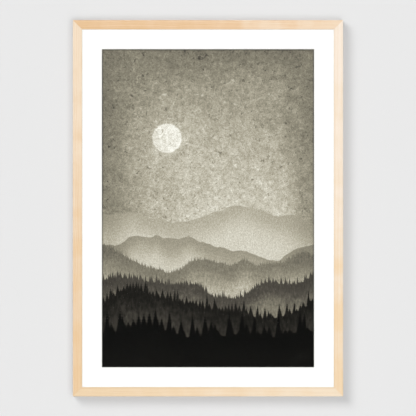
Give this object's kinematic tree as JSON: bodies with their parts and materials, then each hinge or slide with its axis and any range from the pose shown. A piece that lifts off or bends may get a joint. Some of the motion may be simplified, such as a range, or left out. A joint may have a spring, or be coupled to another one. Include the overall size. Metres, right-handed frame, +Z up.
{
  "type": "framed print",
  "caption": "Portrait framed print: paper print behind a white window mat and clear glazing in a mitred light wood frame, hung by a sawtooth hanger.",
  "frame": {"origin": "the hanging point: the middle notch of the sawtooth hanger, on the plane of the wall", "axes": "+Z up along the frame's height, +Y into the wall, so the front of the print faces -Y, and +X to the right seen from the front"},
  "size_m": [0.6478, 0.033, 0.9017],
  "materials": {
    "maple": "pale maple under a clear satin lacquer, grain along each rail",
    "acrylic": "clear anti-reflective acrylic sheet",
    "mat_white": "matt white mat board with a white core at the bevelled window",
    "print_paper": "satin paper printed in warm monochrome greys",
    "fibreboard": "brown pressed fibreboard, smooth face",
    "steel": "bright stamped steel",
    "zinc": "zinc-plated steel",
    "rubber": "matt black rubber"
  },
  "bodies": {
    "root": {"rail_top": "maple", "rail_bottom": "maple", "stile_left": "maple", "stile_right": "maple", "glazing": "acrylic", "mat_board": "mat_white", "print_sheet": "print_paper", "backing_board": "fibreboard", "tab_top_1": "steel", "tab_top_2": "steel", "tab_top_3": "steel", "tab_bottom_1": "steel", "tab_bottom_2": "steel", "tab_bottom_3": "steel", "tab_left_1": "steel", "tab_left_2": "steel", "tab_left_3": "steel", "tab_left_4": "steel", "tab_left_5": "steel", "tab_right_1": "steel", "tab_right_2": "steel", "tab_right_3": "steel", "tab_right_4": "steel", "tab_right_5": "steel", "v_nail_top_left_1": "steel", "v_nail_top_left_2": "steel", "v_nail_top_right_1": "steel", "v_nail_top_right_2": "steel", "v_nail_bottom_left_1": "steel", "v_nail_bottom_left_2": "steel", "v_nail_bottom_right_1": "steel", "v_nail_bottom_right_2": "steel", "sawtooth_hanger": "zinc", "hanger_screw_left": "zinc", "hanger_screw_right": "zinc", "bumper_left": "rubber", "bumper_right": "rubber"}
  },
  "joints": []
}
